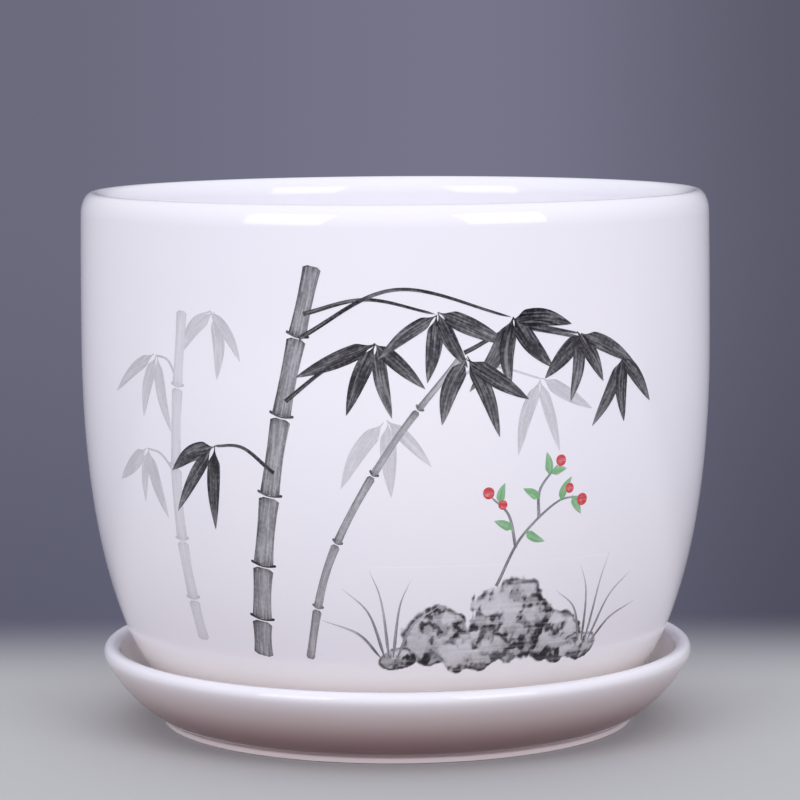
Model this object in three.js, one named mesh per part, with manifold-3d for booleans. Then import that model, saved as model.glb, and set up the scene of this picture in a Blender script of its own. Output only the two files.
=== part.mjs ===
// A round glazed ceramic flowerpot that stands loose in its own saucer.
// Millimetres, +Z up. The origin is on the table, in the middle of the saucer's foot ring.
// Both pieces are bodies of revolution: a profile of (radius, height) points is turned about Z.

import * as THREE from 'three';
import { mergeVertices } from 'three/addons/utils/BufferGeometryUtils.js';
import Module from 'manifold-3d';

// Pot, heights measured from the bottom of its foot ring
const POT_HEIGHT = 110;
const POT_BELLY_DIAMETER = 140;
const POT_BELLY_HEIGHT = 75;
const POT_WALL = 5.7;

// The flank rises from the foot ring to the belly in one curve
const POT_FOOT_DIAMETER = 105.6;
const FLANK_FOOT_ANGLE = THREE.MathUtils.degToRad(41);
const FLANK_FOOT_PULL = 0.104; // handle length at the foot, as a share of the flank's rise
const FLANK_BELLY_PULL = 0.66; // handle length at the belly, as a share of the flank's rise

// Above the belly the wall leans in a little, then rounds over both faces of the lip
const WALL_LEAN_IN = 0.28;
const SHOULDER_RISE = 5;
const SHOULDER_RUN = 2.7;
const LIP_INNER_DROP = 4.5;

// Pot floor and foot ring
const POT_FLOOR_THICKNESS = 6;
const POT_INNER_CORNER_RADIUS = 12;
const POT_FOOT_RING_WIDTH = 6;
const POT_FOOT_EDGE_RADIUS = 2;
const POT_RECESS_DEPTH = 3;
const POT_RECESS_FILLET = 2;
const DRAIN_HOLE_DIAMETER = 18;
const DRAIN_EDGE_RADIUS = 1;

// Weep notches let drained water out from under the pot
const NOTCH_COUNT = 3;
const NOTCH_WIDTH = 10;
const NOTCH_DEPTH = 1.8;

// Saucer, heights measured from the table
const SAUCER_HEIGHT = 17.6;
const SAUCER_FLOOR_THICKNESS = 5.2;
const SAUCER_RECESS_DEPTH = 3;
const SAUCER_RECESS_FILLET = 1.5;
const SAUCER_FOOT_STRIP = 0.9; // straight height of the foot ring's outer face
const SAUCER_FOOT_RING_WIDTH = 5.5;
const SAUCER_FOOT_EDGE_RADIUS = 0.25;
const SAUCER_FOOT_INSET = 1.6; // the foot ring stands in by this much from the floor's edge
const SAUCER_THROAT_RADIUS = 0.8; // hollow round where the foot ring meets the flare
const SAUCER_RIM_THICKNESS = 3.6;
const SAUCER_RIM_ROUND = 1.8; // height of the rounded top of the rim
const SAUCER_FLARE_ANGLE = THREE.MathUtils.degToRad(27);
const FLARE_FOOT_PULL = 0.6; // handle lengths of the outer curve, as shares of its rise
const FLARE_RIM_PULL = 0.14;
const BASIN_FLOOR_PULL = 0.3; // handle lengths of the inner curve, as shares of its rise
const BASIN_RIM_PULL = 0.3;

// Fit of the pot in the saucer
const SEAT_GAP = 0.3; // between the pot's foot ring and the saucer's floor
const SEAT_MARGIN = 1.7; // the flat floor runs this far past the pot's foot ring
const RIM_GAP = 3.6; // from the pot's flank to the inside of the saucer's rim, at rim height

// Fineness of the surfaces
const TURN_SEGMENTS = 72;
const FLANK_STEPS = 8;
const ROUND_STEPS = 3;
const NOTCH_STEPS = 8;

// Levels and radii that follow from the sizes above
const bellyRadius = POT_BELLY_DIAMETER / 2;
const potFootRadius = POT_FOOT_DIAMETER / 2;
const potFloorTop = POT_RECESS_DEPTH + POT_FLOOR_THICKNESS;
const shoulderHeight = POT_HEIGHT - SHOULDER_RISE;
const saucerFloorTop = SAUCER_RECESS_DEPTH + SAUCER_FLOOR_THICKNESS;
const potBase = saucerFloorTop + SEAT_GAP;

const glaze = { roughness: 0.12, metalness: 0 };
const potMaterial = new THREE.MeshStandardMaterial({ color: 0xf2f2f7, ...glaze });
const saucerMaterial = new THREE.MeshStandardMaterial({ color: 0xf0eff3, ...glaze });

const wasm = await Module();
wasm.setup();

function point(radius, height) {
  return new THREE.Vector2(radius, height);
}

function arc(centre, radiusX, radiusY, startDegrees, endDegrees) {
  const start = THREE.MathUtils.degToRad(startDegrees);
  const end = THREE.MathUtils.degToRad(endDegrees);
  return new THREE.EllipseCurve(centre.x, centre.y, radiusX, radiusY, start, end, end < start);
}

function lengthAlong(angle, length) {
  return point(Math.cos(angle) * length, Math.sin(angle) * length);
}

// A profile is a list of single points and of [curve, steps] pairs, in order
function profilePoints(pieces) {
  const points = [];
  for (const piece of pieces) {
    const added = Array.isArray(piece) ? piece[0].getPoints(piece[1]) : [piece];
    for (const next of added) {
      const last = points[points.length - 1];
      if (!last || last.distanceTo(next) > 1e-4) {
        points.push(next);
      }
    }
  }
  return points;
}

function turned(points) {
  const geometry = new THREE.LatheGeometry(points, TURN_SEGMENTS);
  geometry.rotateX(Math.PI / 2);
  return geometry;
}

function toSolid(geometry) {
  const bare = geometry.clone();
  bare.deleteAttribute('normal');
  bare.deleteAttribute('uv');
  const merged = mergeVertices(bare, 1e-4);
  const vertProperties = new Float32Array(merged.attributes.position.array);
  const triVerts = new Uint32Array(merged.index.array);
  return new wasm.Manifold(new wasm.Mesh({ numProp: 3, vertProperties, triVerts }));
}

function toGeometry(solid) {
  const mesh = solid.getMesh();
  const geometry = new THREE.BufferGeometry();
  geometry.setAttribute('position', new THREE.BufferAttribute(mesh.vertProperties, 3));
  geometry.setIndex(new THREE.BufferAttribute(mesh.triVerts, 1));
  geometry.computeVertexNormals();
  return geometry;
}

// Pot flank, from the end of the foot's edge round up to the belly
const footEdgeCentre = point(
  potFootRadius - POT_FOOT_EDGE_RADIUS * Math.sin(FLANK_FOOT_ANGLE),
  POT_FOOT_EDGE_RADIUS,
);
const flankStart = point(potFootRadius, POT_FOOT_EDGE_RADIUS * (1 - Math.cos(FLANK_FOOT_ANGLE)));
const flankRise = POT_BELLY_HEIGHT - flankStart.y;
const flank = new THREE.CubicBezierCurve(
  flankStart,
  flankStart.clone().add(lengthAlong(FLANK_FOOT_ANGLE, flankRise * FLANK_FOOT_PULL)),
  point(bellyRadius, POT_BELLY_HEIGHT - flankRise * FLANK_BELLY_PULL),
  point(bellyRadius, POT_BELLY_HEIGHT),
);

// The wall above the belly leans in along a parabola, and its inner face runs beside it
function upperWall(radius) {
  const middle = (POT_BELLY_HEIGHT + shoulderHeight) / 2;
  return new THREE.QuadraticBezierCurve(
    point(radius, POT_BELLY_HEIGHT),
    point(radius, middle),
    point(radius - WALL_LEAN_IN, shoulderHeight),
  );
}

// The point that lies a distance inside the flank, square to it
function insideFlank(share, distance) {
  const tangent = flank.getTangent(share);
  const inward = point(-tangent.y, tangent.x);
  return flank.getPoint(share).addScaledVector(inward, distance);
}

// The share of a rising function at which it reaches a height, by halving
function shareAtHeight(heightOf, height) {
  let low = 0;
  let high = 1;
  for (let step = 0; step < 40; step += 1) {
    const middle = (low + high) / 2;
    if (heightOf(middle) < height) {
      low = middle;
    } else {
      high = middle;
    }
  }
  return (low + high) / 2;
}

function flankRadiusAt(height) {
  const share = shareAtHeight((s) => flank.getPoint(s).y, height);
  return flank.getPoint(share).x;
}

// The inner wall keeps the wall's thickness and meets the floor in a fillet tangent to both
function innerWallPoints() {
  const filletOffset = POT_WALL + POT_INNER_CORNER_RADIUS;
  const centreHeight = potFloorTop + POT_INNER_CORNER_RADIUS;
  const start = shareAtHeight((s) => insideFlank(s, filletOffset).y, centreHeight);
  const centre = insideFlank(start, filletOffset);
  const tangent = flank.getTangent(start);
  const startDegrees = THREE.MathUtils.radToDeg(Math.atan2(-tangent.x, tangent.y));
  const fillet = arc(centre, POT_INNER_CORNER_RADIUS, POT_INNER_CORNER_RADIUS, startDegrees, -90);
  const wall = [];
  for (let step = FLANK_STEPS; step > 0; step -= 1) {
    wall.push(insideFlank(start + (1 - start) * (step / FLANK_STEPS), POT_WALL));
  }
  return [...wall, [fillet, 2 * ROUND_STEPS]];
}

function potProfile() {
  const lipRadius = bellyRadius - WALL_LEAN_IN - SHOULDER_RUN;
  const innerTopRadius = bellyRadius - WALL_LEAN_IN - POT_WALL;
  const lipInnerRun = lipRadius - innerTopRadius;
  const innerLean = upperWall(bellyRadius - POT_WALL).getPoints(ROUND_STEPS).reverse();
  innerLean[0] = point(innerTopRadius, POT_HEIGHT - LIP_INNER_DROP);
  const shoulder = arc(point(lipRadius, shoulderHeight), SHOULDER_RUN, SHOULDER_RISE, 0, 90);
  const lipInside = arc(
    point(lipRadius, POT_HEIGHT - LIP_INNER_DROP), lipInnerRun, LIP_INNER_DROP, 90, 180,
  );
  const holeRadius = DRAIN_HOLE_DIAMETER / 2;
  const edge = DRAIN_EDGE_RADIUS;
  const holeTop = arc(point(holeRadius + edge, potFloorTop - edge), edge, edge, 90, 180);
  const holeBottom = arc(point(holeRadius + edge, POT_RECESS_DEPTH + edge), edge, edge, 180, 270);
  const ringInner = potFootRadius - POT_FOOT_RING_WIDTH;
  const recessCorner = arc(
    point(ringInner - POT_RECESS_FILLET, POT_RECESS_DEPTH - POT_RECESS_FILLET),
    POT_RECESS_FILLET, POT_RECESS_FILLET, 90, 0,
  );
  const footEdge = arc(
    footEdgeCentre, POT_FOOT_EDGE_RADIUS, POT_FOOT_EDGE_RADIUS,
    -90, -90 + THREE.MathUtils.radToDeg(FLANK_FOOT_ANGLE),
  );
  const points = profilePoints([
    [footEdge, ROUND_STEPS],
    [flank, FLANK_STEPS],
    [upperWall(bellyRadius), ROUND_STEPS],
    [shoulder, 2 * ROUND_STEPS],
    [lipInside, ROUND_STEPS],
    ...innerLean,
    ...innerWallPoints(),
    [holeTop, ROUND_STEPS],
    [holeBottom, ROUND_STEPS],
    [recessCorner, ROUND_STEPS],
    point(ringInner, 0),
  ]);
  return [...points, points[0].clone()];
}

// A round-topped channel through the foot ring, along -Y before it is turned to its place
function weepNotch(angle) {
  const halfWidth = NOTCH_WIDTH / 2;
  const shape = new THREE.Shape();
  shape.moveTo(halfWidth, -NOTCH_DEPTH);
  shape.lineTo(halfWidth, 0);
  shape.absellipse(0, 0, halfWidth, NOTCH_DEPTH, 0, Math.PI, false);
  shape.lineTo(-halfWidth, -NOTCH_DEPTH);
  const past = POT_FOOT_RING_WIDTH / 2;
  const length = POT_FOOT_RING_WIDTH + 2 * past;
  const options = { depth: length, bevelEnabled: false, curveSegments: NOTCH_STEPS };
  const channel = new THREE.ExtrudeGeometry(shape, options);
  channel.rotateX(Math.PI / 2);
  channel.translate(0, -(potFootRadius - POT_FOOT_RING_WIDTH - past), 0);
  channel.rotateZ(angle);
  return channel;
}

function makePot() {
  let solid = toSolid(turned(potProfile()));
  for (let index = 0; index < NOTCH_COUNT; index += 1) {
    const angle = (index / NOTCH_COUNT) * 2 * Math.PI;
    solid = solid.subtract(toSolid(weepNotch(angle)));
  }
  const pot = new THREE.Mesh(toGeometry(solid), potMaterial);
  pot.name = 'pot';
  pot.position.z = potBase;
  return pot;
}

function saucerProfile() {
  const floorRadius = potFootRadius + SEAT_MARGIN;
  const footRadius = floorRadius - SAUCER_FOOT_INSET;
  const ringInner = footRadius - SAUCER_FOOT_RING_WIDTH;
  const rimInner = flankRadiusAt(SAUCER_HEIGHT - potBase) + RIM_GAP;
  const rimSpring = SAUCER_HEIGHT - SAUCER_RIM_ROUND;
  const halfRim = SAUCER_RIM_THICKNESS / 2;
  const edge = SAUCER_FOOT_EDGE_RADIUS;
  const fillet = SAUCER_RECESS_FILLET;
  const throat = SAUCER_THROAT_RADIUS;

  const recessCorner = arc(
    point(ringInner - fillet, SAUCER_RECESS_DEPTH - fillet), fillet, fillet, 90, 0,
  );
  const footEdge = arc(point(footRadius - edge, edge), edge, edge, -90, 0);
  const throatRound = arc(
    point(footRadius + throat, SAUCER_FOOT_STRIP), throat, throat,
    180, 90 + THREE.MathUtils.radToDeg(SAUCER_FLARE_ANGLE),
  );
  const flareStart = throatRound.getPoint(1);
  const flareRise = rimSpring - flareStart.y;
  const flare = new THREE.CubicBezierCurve(
    flareStart,
    flareStart.clone().add(lengthAlong(SAUCER_FLARE_ANGLE, flareRise * FLARE_FOOT_PULL)),
    point(rimInner + SAUCER_RIM_THICKNESS, rimSpring - flareRise * FLARE_RIM_PULL),
    point(rimInner + SAUCER_RIM_THICKNESS, rimSpring),
  );
  const rim = arc(point(rimInner + halfRim, rimSpring), halfRim, SAUCER_RIM_ROUND, 0, 180);
  const basinRise = rimSpring - saucerFloorTop;
  const basin = new THREE.CubicBezierCurve(
    point(rimInner, rimSpring),
    point(rimInner, rimSpring - basinRise * BASIN_RIM_PULL),
    point(floorRadius + basinRise * BASIN_FLOOR_PULL, saucerFloorTop),
    point(floorRadius, saucerFloorTop),
  );
  return profilePoints([
    point(0, SAUCER_RECESS_DEPTH),
    [recessCorner, ROUND_STEPS],
    point(ringInner, 0),
    [footEdge, ROUND_STEPS],
    [throatRound, ROUND_STEPS],
    [flare, FLANK_STEPS],
    [rim, 3 * ROUND_STEPS],
    [basin, FLANK_STEPS],
    point(0, saucerFloorTop),
  ]);
}

function makeSaucer() {
  const saucer = new THREE.Mesh(turned(saucerProfile()), saucerMaterial);
  saucer.name = 'saucer';
  return saucer;
}

const flowerpot = new THREE.Group();
flowerpot.add(makeSaucer(), makePot());

export default flowerpot;
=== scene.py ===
"""Looks for a round glazed flowerpot in its saucer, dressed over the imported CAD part.

Blender works in metres. Lengths below are in millimetres, and are divided by MM where Blender or
a shader takes them. Heights in the pot's profile and decoration count from its foot ring.
"""

import math
import random

import bpy
import numpy as np
from mathutils import Matrix, Vector


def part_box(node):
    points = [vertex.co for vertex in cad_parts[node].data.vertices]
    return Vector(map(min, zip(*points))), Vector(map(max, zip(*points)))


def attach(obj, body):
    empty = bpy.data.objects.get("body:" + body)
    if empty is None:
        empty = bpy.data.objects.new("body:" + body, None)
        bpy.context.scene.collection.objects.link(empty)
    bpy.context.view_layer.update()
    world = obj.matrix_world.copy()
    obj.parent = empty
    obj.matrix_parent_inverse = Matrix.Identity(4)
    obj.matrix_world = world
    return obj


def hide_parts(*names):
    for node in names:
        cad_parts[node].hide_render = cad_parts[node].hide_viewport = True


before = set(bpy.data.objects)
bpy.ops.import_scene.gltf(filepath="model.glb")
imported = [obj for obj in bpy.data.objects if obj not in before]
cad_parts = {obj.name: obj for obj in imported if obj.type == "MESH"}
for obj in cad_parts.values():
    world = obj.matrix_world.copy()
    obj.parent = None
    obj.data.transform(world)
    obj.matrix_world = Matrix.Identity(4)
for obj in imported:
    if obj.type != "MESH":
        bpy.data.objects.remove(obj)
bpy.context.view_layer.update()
pot_low, pot_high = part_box("pot")
saucer_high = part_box("saucer")[1]

MM = 1000.0  # millimetres in a metre

# Camera, fitted to the lip, belly and foot ellipses of the photograph
CAMERA_DISTANCE = 740
CAMERA_HEIGHT = 153.6
CAMERA_PITCH_DOWN = math.radians(6.346)
CAMERA_ROLL = math.radians(0.34)
CAMERA_CLIP = (50, 50000)
FOCAL_PIXELS = 3322
AXIS_OFFSET_PIXELS = -4.0  # from the picture's middle to the pot's axis, + is to the right
PICTURE_PIXELS = 800
SENSOR_WIDTH = 36

# Pot, from the frame's box where it gives the size
POT_BASE = pot_low.z * MM
POT_HEIGHT = (pot_high.z - pot_low.z) * MM
BELLY_RADIUS = pot_high.x * MM
BELLY_HEIGHT = 75
POT_WALL = 5.7
FOOT_RADIUS = 52.8
FOOT_ANGLE = math.radians(41)
FOOT_EDGE_RADIUS = 2
FLANK_FOOT_PULL = 0.104
FLANK_BELLY_PULL = 0.66
WALL_LEAN_IN = 0.28
SHOULDER_RISE = 5
SHOULDER_RUN = 2.7
CREST_RADIUS = BELLY_RADIUS - WALL_LEAN_IN - SHOULDER_RUN
LIP_INNER_DROP = 4.5
FLOOR_TOP = 9
INNER_CORNER_RADIUS = 12
FOOT_RING_WIDTH = 6
RECESS_DEPTH = 3
RECESS_FILLET = 2
DRAIN_RADIUS = 9
DRAIN_EDGE_RADIUS = 1
NOTCH_COUNT = 3
NOTCH_WIDTH = 10
NOTCH_DEPTH = 1.8

# Saucer
SAUCER_HEIGHT = saucer_high.z * MM
SAUCER_RIM_RADIUS = saucer_high.x * MM
SAUCER_FLOOR_TOP = 8.2
SAUCER_FLOOR_RADIUS = 54.5
SAUCER_FOOT_RADIUS = 52.9
SAUCER_FOOT_STRIP = 0.9
SAUCER_FOOT_WIDTH = 5.5
SAUCER_FOOT_EDGE = 0.25
SAUCER_THROAT_RADIUS = 0.8
SAUCER_RECESS_DEPTH = 3
SAUCER_RECESS_FILLET = 1.5
SAUCER_RIM_THICKNESS = 3.6
SAUCER_RIM_ROUND = 1.8
SAUCER_FLARE_ANGLE = math.radians(27)
FLARE_FOOT_PULL = 0.6
FLARE_RIM_PULL = 0.14
BASIN_PULL = 0.3

# Fineness of the turned surfaces
TURN_STEPS = 360
FLANK_STEPS = 48
INNER_FLANK_FACTOR = 4  # the inner wall is worked out on a flank this many times finer
WALL_STEPS = 16
SHOULDER_STEPS = 20
LIP_STEPS = 16
INNER_CORNER_STEPS = 20
POT_FLOOR_STEPS = 8
FOOT_EDGE_STEPS = 10
DRAIN_EDGE_STEPS = 6
RECESS_STEPS = 6
RECESS_FILLET_STEPS = 8
SOLE_STEPS = 4
SAUCER_RECESS_STEPS = 10
SAUCER_FILLET_STEPS = 6
SAUCER_EDGE_STEPS = 5
SAUCER_THROAT_STEPS = 6
FLARE_STEPS = 28
SAUCER_RIM_STEPS = 24
BASIN_STEPS = 24
SAUCER_FLOOR_STEPS = 12
SAME_POINT = 1e-4  # points closer than this are one
RING_SLACK = 0.1  # the foot ring's inner face counts as part of the ring
SHARP_EDGE = math.radians(50)
PRINT_SHARP_EDGE = math.radians(40)


def metres(values):
    return np.asarray(values, float) / MM


def eased(value, low, high):
    """0 at low and 1 at high, smooth between and level beyond. Low may be the larger one."""
    share = np.clip((value - low) / (high - low), 0, 1)
    return share * share * (3 - 2 * share)


# Profiles: runs of (radius, height) points


def pulled_curve(corners, steps):
    """Points of the smooth curve that a run of corners pulls, by blending corners in pairs."""
    shares = np.linspace(0, 1, steps + 1)[:, None]
    levels = [np.tile(np.asarray(corner, float), (steps + 1, 1)) for corner in corners]
    while len(levels) > 1:
        levels = [a + (b - a) * shares for a, b in zip(levels, levels[1:])]
    return levels[0]


def arc(centre, radius_x, radius_y, start, end, steps):
    angles = np.radians(np.linspace(start, end, steps + 1))
    return np.column_stack(
        [centre[0] + radius_x * np.cos(angles), centre[1] + radius_y * np.sin(angles)]
    )


def straight(start, end, steps):
    return np.linspace(start, end, steps + 1)


def joined(stretches):
    """One run of points out of several, without the doubled points where they meet."""
    points = [stretches[0][0]]
    for stretch in stretches:
        for point in stretch:
            if np.hypot(*(point - points[-1])) > SAME_POINT:
                points.append(point)
    return np.array(points)


def offset_inward(points, distance):
    """The run of points that lies a distance inside the wall, square to it."""
    tangent = np.gradient(points, axis=0)
    tangent /= np.hypot(tangent[:, 0], tangent[:, 1])[:, None]
    inward = np.column_stack([-tangent[:, 1], tangent[:, 0]])
    return points + inward * distance


def flank_points(steps):
    start = np.array([FOOT_RADIUS, FOOT_EDGE_RADIUS * (1 - math.cos(FOOT_ANGLE))])
    rise = BELLY_HEIGHT - start[1]
    leave = np.array([math.cos(FOOT_ANGLE), math.sin(FOOT_ANGLE)]) * rise * FLANK_FOOT_PULL
    return pulled_curve(
        [
            start,
            start + leave,
            (BELLY_RADIUS, BELLY_HEIGHT - rise * FLANK_BELLY_PULL),
            (BELLY_RADIUS, BELLY_HEIGHT),
        ],
        steps,
    )


def upper_wall(radius):
    shoulder = POT_HEIGHT - SHOULDER_RISE
    middle = (BELLY_HEIGHT + shoulder) / 2
    corners = [(radius, BELLY_HEIGHT), (radius, middle), (radius - WALL_LEAN_IN, shoulder)]
    return pulled_curve(corners, WALL_STEPS)


def outer_wall():
    """The pot's outside from the foot's edge to the crest of the lip."""
    edge = FOOT_EDGE_RADIUS
    edge_centre = (FOOT_RADIUS - edge * math.sin(FOOT_ANGLE), edge)
    end = -90 + math.degrees(FOOT_ANGLE)
    foot_edge = arc(edge_centre, edge, edge, -90, end, FOOT_EDGE_STEPS)
    centre = (CREST_RADIUS, POT_HEIGHT - SHOULDER_RISE)
    shoulder = arc(centre, SHOULDER_RUN, SHOULDER_RISE, 0, 90, SHOULDER_STEPS)
    return joined([foot_edge, flank_points(FLANK_STEPS), upper_wall(BELLY_RADIUS), shoulder])


def inner_wall():
    """The pot's inside from the crest of the lip to the edge of its drain hole."""
    inner_top = BELLY_RADIUS - WALL_LEAN_IN - POT_WALL
    spring = POT_HEIGHT - LIP_INNER_DROP
    run = CREST_RADIUS - inner_top
    lip_inside = arc((CREST_RADIUS, spring), run, LIP_INNER_DROP, 90, 180, LIP_STEPS)
    lean = upper_wall(BELLY_RADIUS - POT_WALL)[::-1]
    lean[0] = (inner_top, spring)
    flank = flank_points(FLANK_STEPS * INNER_FLANK_FACTOR)
    bend = INNER_CORNER_RADIUS
    centres = offset_inward(flank, POT_WALL + bend)
    start = int(np.argmin(np.abs(centres[:, 1] - FLOOR_TOP - bend)))
    centre = centres[start]
    face = offset_inward(flank, POT_WALL)[start:][::-INNER_FLANK_FACTOR]
    spoke = face[-1] - centre
    start_angle = math.degrees(math.atan2(spoke[1], spoke[0]))
    corner = arc(centre, bend, bend, start_angle, -90, INNER_CORNER_STEPS)
    hole_edge = (DRAIN_RADIUS + DRAIN_EDGE_RADIUS, FLOOR_TOP)
    floor = straight(corner[-1], hole_edge, POT_FLOOR_STEPS)
    return joined([lip_inside, lean, face, corner, floor])


def underside():
    """From the drain hole's upper edge down, and over the recess to the foot ring's sole."""
    edge = DRAIN_EDGE_RADIUS
    middle = DRAIN_RADIUS + edge
    hole_top = arc((middle, FLOOR_TOP - edge), edge, edge, 90, 180, DRAIN_EDGE_STEPS)
    hole_foot = arc((middle, RECESS_DEPTH + edge), edge, edge, 180, 270, DRAIN_EDGE_STEPS)
    ring_inner = FOOT_RADIUS - FOOT_RING_WIDTH
    corner_centre = (ring_inner - RECESS_FILLET, RECESS_DEPTH - RECESS_FILLET)
    corner = arc(corner_centre, RECESS_FILLET, RECESS_FILLET, 90, 0, RECESS_FILLET_STEPS)
    recess = straight(hole_foot[-1], corner[0], RECESS_STEPS)
    return joined([hole_top, hole_foot, recess, corner, np.array([[ring_inner, 0.0]])])


def pot_profile():
    """The closed line round the pot's wall, from the foot's edge up and over the lip."""
    profile = joined([outer_wall(), inner_wall(), underside()])
    closing = straight(profile[-1], profile[0], SOLE_STEPS)[1:-1]
    return np.vstack([profile, closing])


def saucer_foot():
    """The saucer's underside from the middle of its recess to the throat above its foot ring."""
    fillet = SAUCER_RECESS_FILLET
    ring_inner = SAUCER_FOOT_RADIUS - SAUCER_FOOT_WIDTH
    centre = (ring_inner - fillet, SAUCER_RECESS_DEPTH - fillet)
    corner = arc(centre, fillet, fillet, 90, 0, SAUCER_FILLET_STEPS)
    recess = straight((0, SAUCER_RECESS_DEPTH), corner[0], SAUCER_RECESS_STEPS)
    edge = SAUCER_FOOT_EDGE
    foot_edge = arc((SAUCER_FOOT_RADIUS - edge, edge), edge, edge, -90, 0, SAUCER_EDGE_STEPS)
    throat = SAUCER_THROAT_RADIUS
    throat_centre = (SAUCER_FOOT_RADIUS + throat, SAUCER_FOOT_STRIP)
    end = 90 + math.degrees(SAUCER_FLARE_ANGLE)
    throat_round = arc(throat_centre, throat, throat, 180, end, SAUCER_THROAT_STEPS)
    return [recess, corner, foot_edge, throat_round]


def saucer_profile():
    """The saucer from the middle of its recess out, over the rim and back to its floor."""
    foot = saucer_foot()
    start = foot[-1][-1]
    spring = SAUCER_HEIGHT - SAUCER_RIM_ROUND
    rise = spring - start[1]
    leave = np.array([math.cos(SAUCER_FLARE_ANGLE), math.sin(SAUCER_FLARE_ANGLE)])
    flare = pulled_curve(
        [
            start,
            start + leave * rise * FLARE_FOOT_PULL,
            (SAUCER_RIM_RADIUS, spring - rise * FLARE_RIM_PULL),
            (SAUCER_RIM_RADIUS, spring),
        ],
        FLARE_STEPS,
    )
    half = SAUCER_RIM_THICKNESS / 2
    rim = arc(
        (SAUCER_RIM_RADIUS - half, spring), half, SAUCER_RIM_ROUND, 0, 180, SAUCER_RIM_STEPS
    )
    drop = spring - SAUCER_FLOOR_TOP
    basin = pulled_curve(
        [
            rim[-1],
            rim[-1] - (0, drop * BASIN_PULL),
            (SAUCER_FLOOR_RADIUS + drop * BASIN_PULL, SAUCER_FLOOR_TOP),
            (SAUCER_FLOOR_RADIUS, SAUCER_FLOOR_TOP),
        ],
        BASIN_STEPS,
    )
    floor = straight(basin[-1], (0, SAUCER_FLOOR_TOP), SAUCER_FLOOR_STEPS)
    return joined([*foot, flare, rim, basin, floor])


# Turned bodies


def notch_lift(radius, height, angle):
    """How far a weep notch raises a point of the foot ring, for arrays of points."""
    lift = np.zeros_like(height)
    for index in range(NOTCH_COUNT):
        middle = 2 * math.pi * index / NOTCH_COUNT
        away = (angle - middle + math.pi) % (2 * math.pi) - math.pi
        across = radius * np.sin(away)
        inside = (np.abs(across) < NOTCH_WIDTH / 2) & (np.abs(away) < math.pi / 2)
        share = np.clip(1 - (across / (NOTCH_WIDTH / 2)) ** 2, 0, 1)
        roof = NOTCH_DEPTH * np.sqrt(share)
        squeezed = roof + height * (RECESS_DEPTH - roof) / RECESS_DEPTH
        on_ring = radius > FOOT_RADIUS - FOOT_RING_WIDTH - RING_SLACK
        reached = inside & (height < RECESS_DEPTH) & on_ring
        lift = np.where(reached, squeezed - height, lift)
    return lift


def turned_mesh(name, profile, inside, base, closed, notched):
    """A body of revolution about Z. A profile that isn't closed starts and ends on the axis.

    Inside holds each profile point's share of the inside's painted colour: light in the pot, shade in
    the basin.
    """
    angles = np.arange(TURN_STEPS) * 2 * math.pi / TURN_STEPS
    ring = profile if closed else profile[1:-1]
    radius = np.repeat(ring[:, 0][:, None], TURN_STEPS, axis=1)
    height = np.repeat(ring[:, 1][:, None], TURN_STEPS, axis=1)
    angle = np.repeat(angles[None, :], len(ring), axis=0)
    if notched:
        height = height + notch_lift(radius, height, angle)
    x = radius * np.sin(angle)
    y = -radius * np.cos(angle)
    vertices = np.stack([x, y, height + base], axis=-1).reshape(-1, 3)
    index = np.arange(len(ring) * TURN_STEPS).reshape(len(ring), TURN_STEPS)
    upper = np.roll(index, -1, axis=0) if closed else index[1:]
    lower = index if closed else index[:-1]
    quads = np.stack(
        [lower, np.roll(lower, -1, axis=1), np.roll(upper, -1, axis=1), upper], axis=-1
    )
    faces = quads.reshape(-1, 4).tolist()
    shares = np.repeat(inside if closed else inside[1:-1], TURN_STEPS)
    if not closed:
        shares = np.append(shares, [inside[0], inside[-1]])
        first, last = len(vertices), len(vertices) + 1
        poles = np.array([[0, 0, profile[0, 1] + base], [0, 0, profile[-1, 1] + base]])
        vertices = np.vstack([vertices, poles])
        for step in range(TURN_STEPS):
            after = (step + 1) % TURN_STEPS
            faces.append([int(index[0, after]), int(index[0, step]), first])
            faces.append([int(index[-1, step]), int(index[-1, after]), last])
    mesh = bpy.data.meshes.new(name)
    mesh.from_pydata(metres(vertices).tolist(), [], faces)
    mesh.polygons.foreach_set("use_smooth", [True] * len(mesh.polygons))
    cavity = mesh.attributes.new("inside", "FLOAT", "POINT")
    cavity.data.foreach_set("value", shares)
    mesh.set_sharp_from_angle(angle=SHARP_EDGE)
    mesh.update()
    return mesh


def added(name, mesh, material):
    piece = bpy.data.objects.new(name, mesh)
    bpy.context.scene.collection.objects.link(piece)
    mesh.materials.append(material)
    return piece


# Shader nodes


def new_node(tree, kind, inputs=None, **settings):
    """A shader node with its settings, and its inputs as values or as the outputs that feed them."""
    made = tree.nodes.new(kind)
    for name, value in settings.items():
        setattr(made, name, value)
    for name, value in (inputs or {}).items():
        socket = made.inputs[name]
        if isinstance(value, bpy.types.NodeSocket):
            tree.links.new(value, socket)
        else:
            socket.default_value = value
    return made


def new_material(name):
    material = bpy.data.materials.new(name)
    material.use_nodes = True
    tree = material.node_tree
    tree.nodes.clear()
    return material, tree


def shaded(tree, shader):
    output = new_node(tree, "ShaderNodeOutputMaterial")
    tree.links.new(shader, output.inputs["Surface"])


def blend_colours(tree, factor, first, second):
    inputs = {0: factor, 6: first, 7: second}
    return new_node(tree, "ShaderNodeMix", inputs, data_type="RGBA").outputs[2]


def combined(tree, operation, first, second):
    return new_node(tree, "ShaderNodeMath", {0: first, 1: second}, operation=operation).outputs[0]


def vector_math(tree, operation, inputs):
    return new_node(tree, "ShaderNodeVectorMath", inputs, operation=operation).outputs


def remapped(tree, value, low, high, to_low=0.0, to_high=1.0):
    inputs = {"Value": value, "From Min": low, "From Max": high, "To Min": to_low, "To Max": to_high}
    made = new_node(tree, "ShaderNodeMapRange", inputs, interpolation_type="SMOOTHSTEP")
    return made.outputs["Result"]


def past(tree, value, start, end):
    """0 before one length and 1 past another, both in millimetres, for a value in metres."""
    return remapped(tree, value, start / MM, end / MM)


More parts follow.
